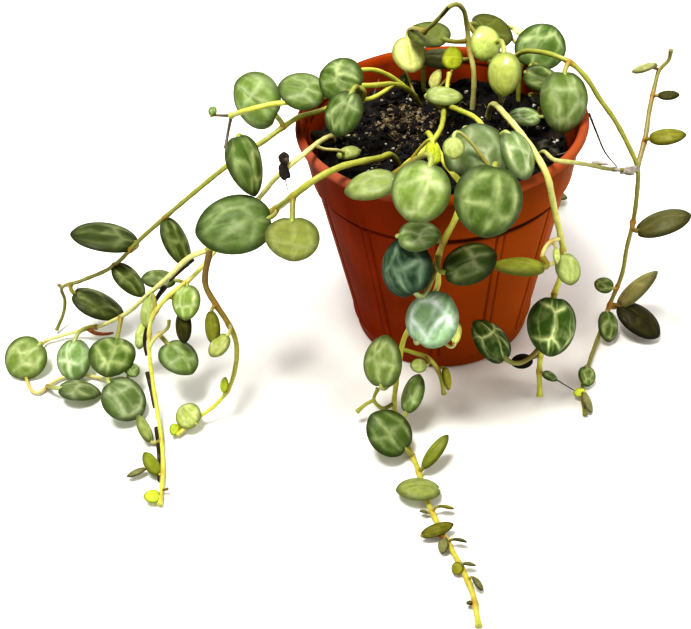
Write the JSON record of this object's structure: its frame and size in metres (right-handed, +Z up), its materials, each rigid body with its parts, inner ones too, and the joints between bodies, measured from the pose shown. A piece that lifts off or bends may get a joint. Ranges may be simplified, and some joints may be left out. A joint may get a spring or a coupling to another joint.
{
  "type": "potted string of turtles",
  "caption": "Small trailing succulent in a round nursery pot: creeping stems with thick round patterned leaves hang over the rim and lie on the surface around it.",
  "frame": {"origin": "middle of the pot's flat underside, on the surface that the pot stands on", "axes": "+Z up along the pot's axis; -Y is the front, where the longest strand runs out along the surface; +X is to the right seen from the front"},
  "size_m": [0.1648, 0.1558, 0.0767],
  "materials": {
    "pot": "moulded terracotta-coloured polypropylene, satin, with a rolled lip and faint upright panels",
    "soil": "dark damp peat mix with brown fibres and white perlite grains",
    "strand_left_long": "waxy green succulent leaves with pale silvery veins, on olive to cream stems",
    "strand_left_thick": "waxy green succulent leaves with pale silvery veins, on yellow-green and brown stems",
    "strand_left_thin": "waxy green and lime leaves with pale veins, on cream to lime stems",
    "spray_left": "waxy pale green leaves with silvery veins, on a yellow-green stem",
    "cluster_front": "waxy green leaves with silvery veins, and some lime new growth",
    "strand_front": "waxy dark bluish-green leaves with silvery veins, on a yellow-green stem",
    "strand_front_right": "waxy dark green leaves with pale veins, on a thick yellow-green stem",
    "strand_right": "waxy dark green leaves, on an olive stem with orange-brown nodes",
    "shoot_arched": "pale lime folded leaf and olive leaves, on an olive stem",
    "shoot_pale": "glossy plump pale yellow-green new leaves",
    "shoot_green": "waxy green leaves with pale veins, on a whitish stem",
    "strand_back_left": "waxy green leaves with pale silvery veins, on an olive stem",
    "strand_back_right": "waxy green leaves with pale silvery veins, on an olive stem"
  },
  "bodies": {
    "root": {"pot": "pot", "soil": "soil", "strand_left_long": "strand_left_long", "strand_left_thick": "strand_left_thick", "strand_left_thin": "strand_left_thin", "spray_left": "spray_left", "cluster_front": "cluster_front", "strand_front": "strand_front", "strand_front_right": "strand_front_right", "strand_right": "strand_right", "shoot_arched": "shoot_arched", "shoot_pale": "shoot_pale", "shoot_green": "shoot_green", "strand_back_left": "strand_back_left", "strand_back_right": "strand_back_right"}
  },
  "joints": []
}
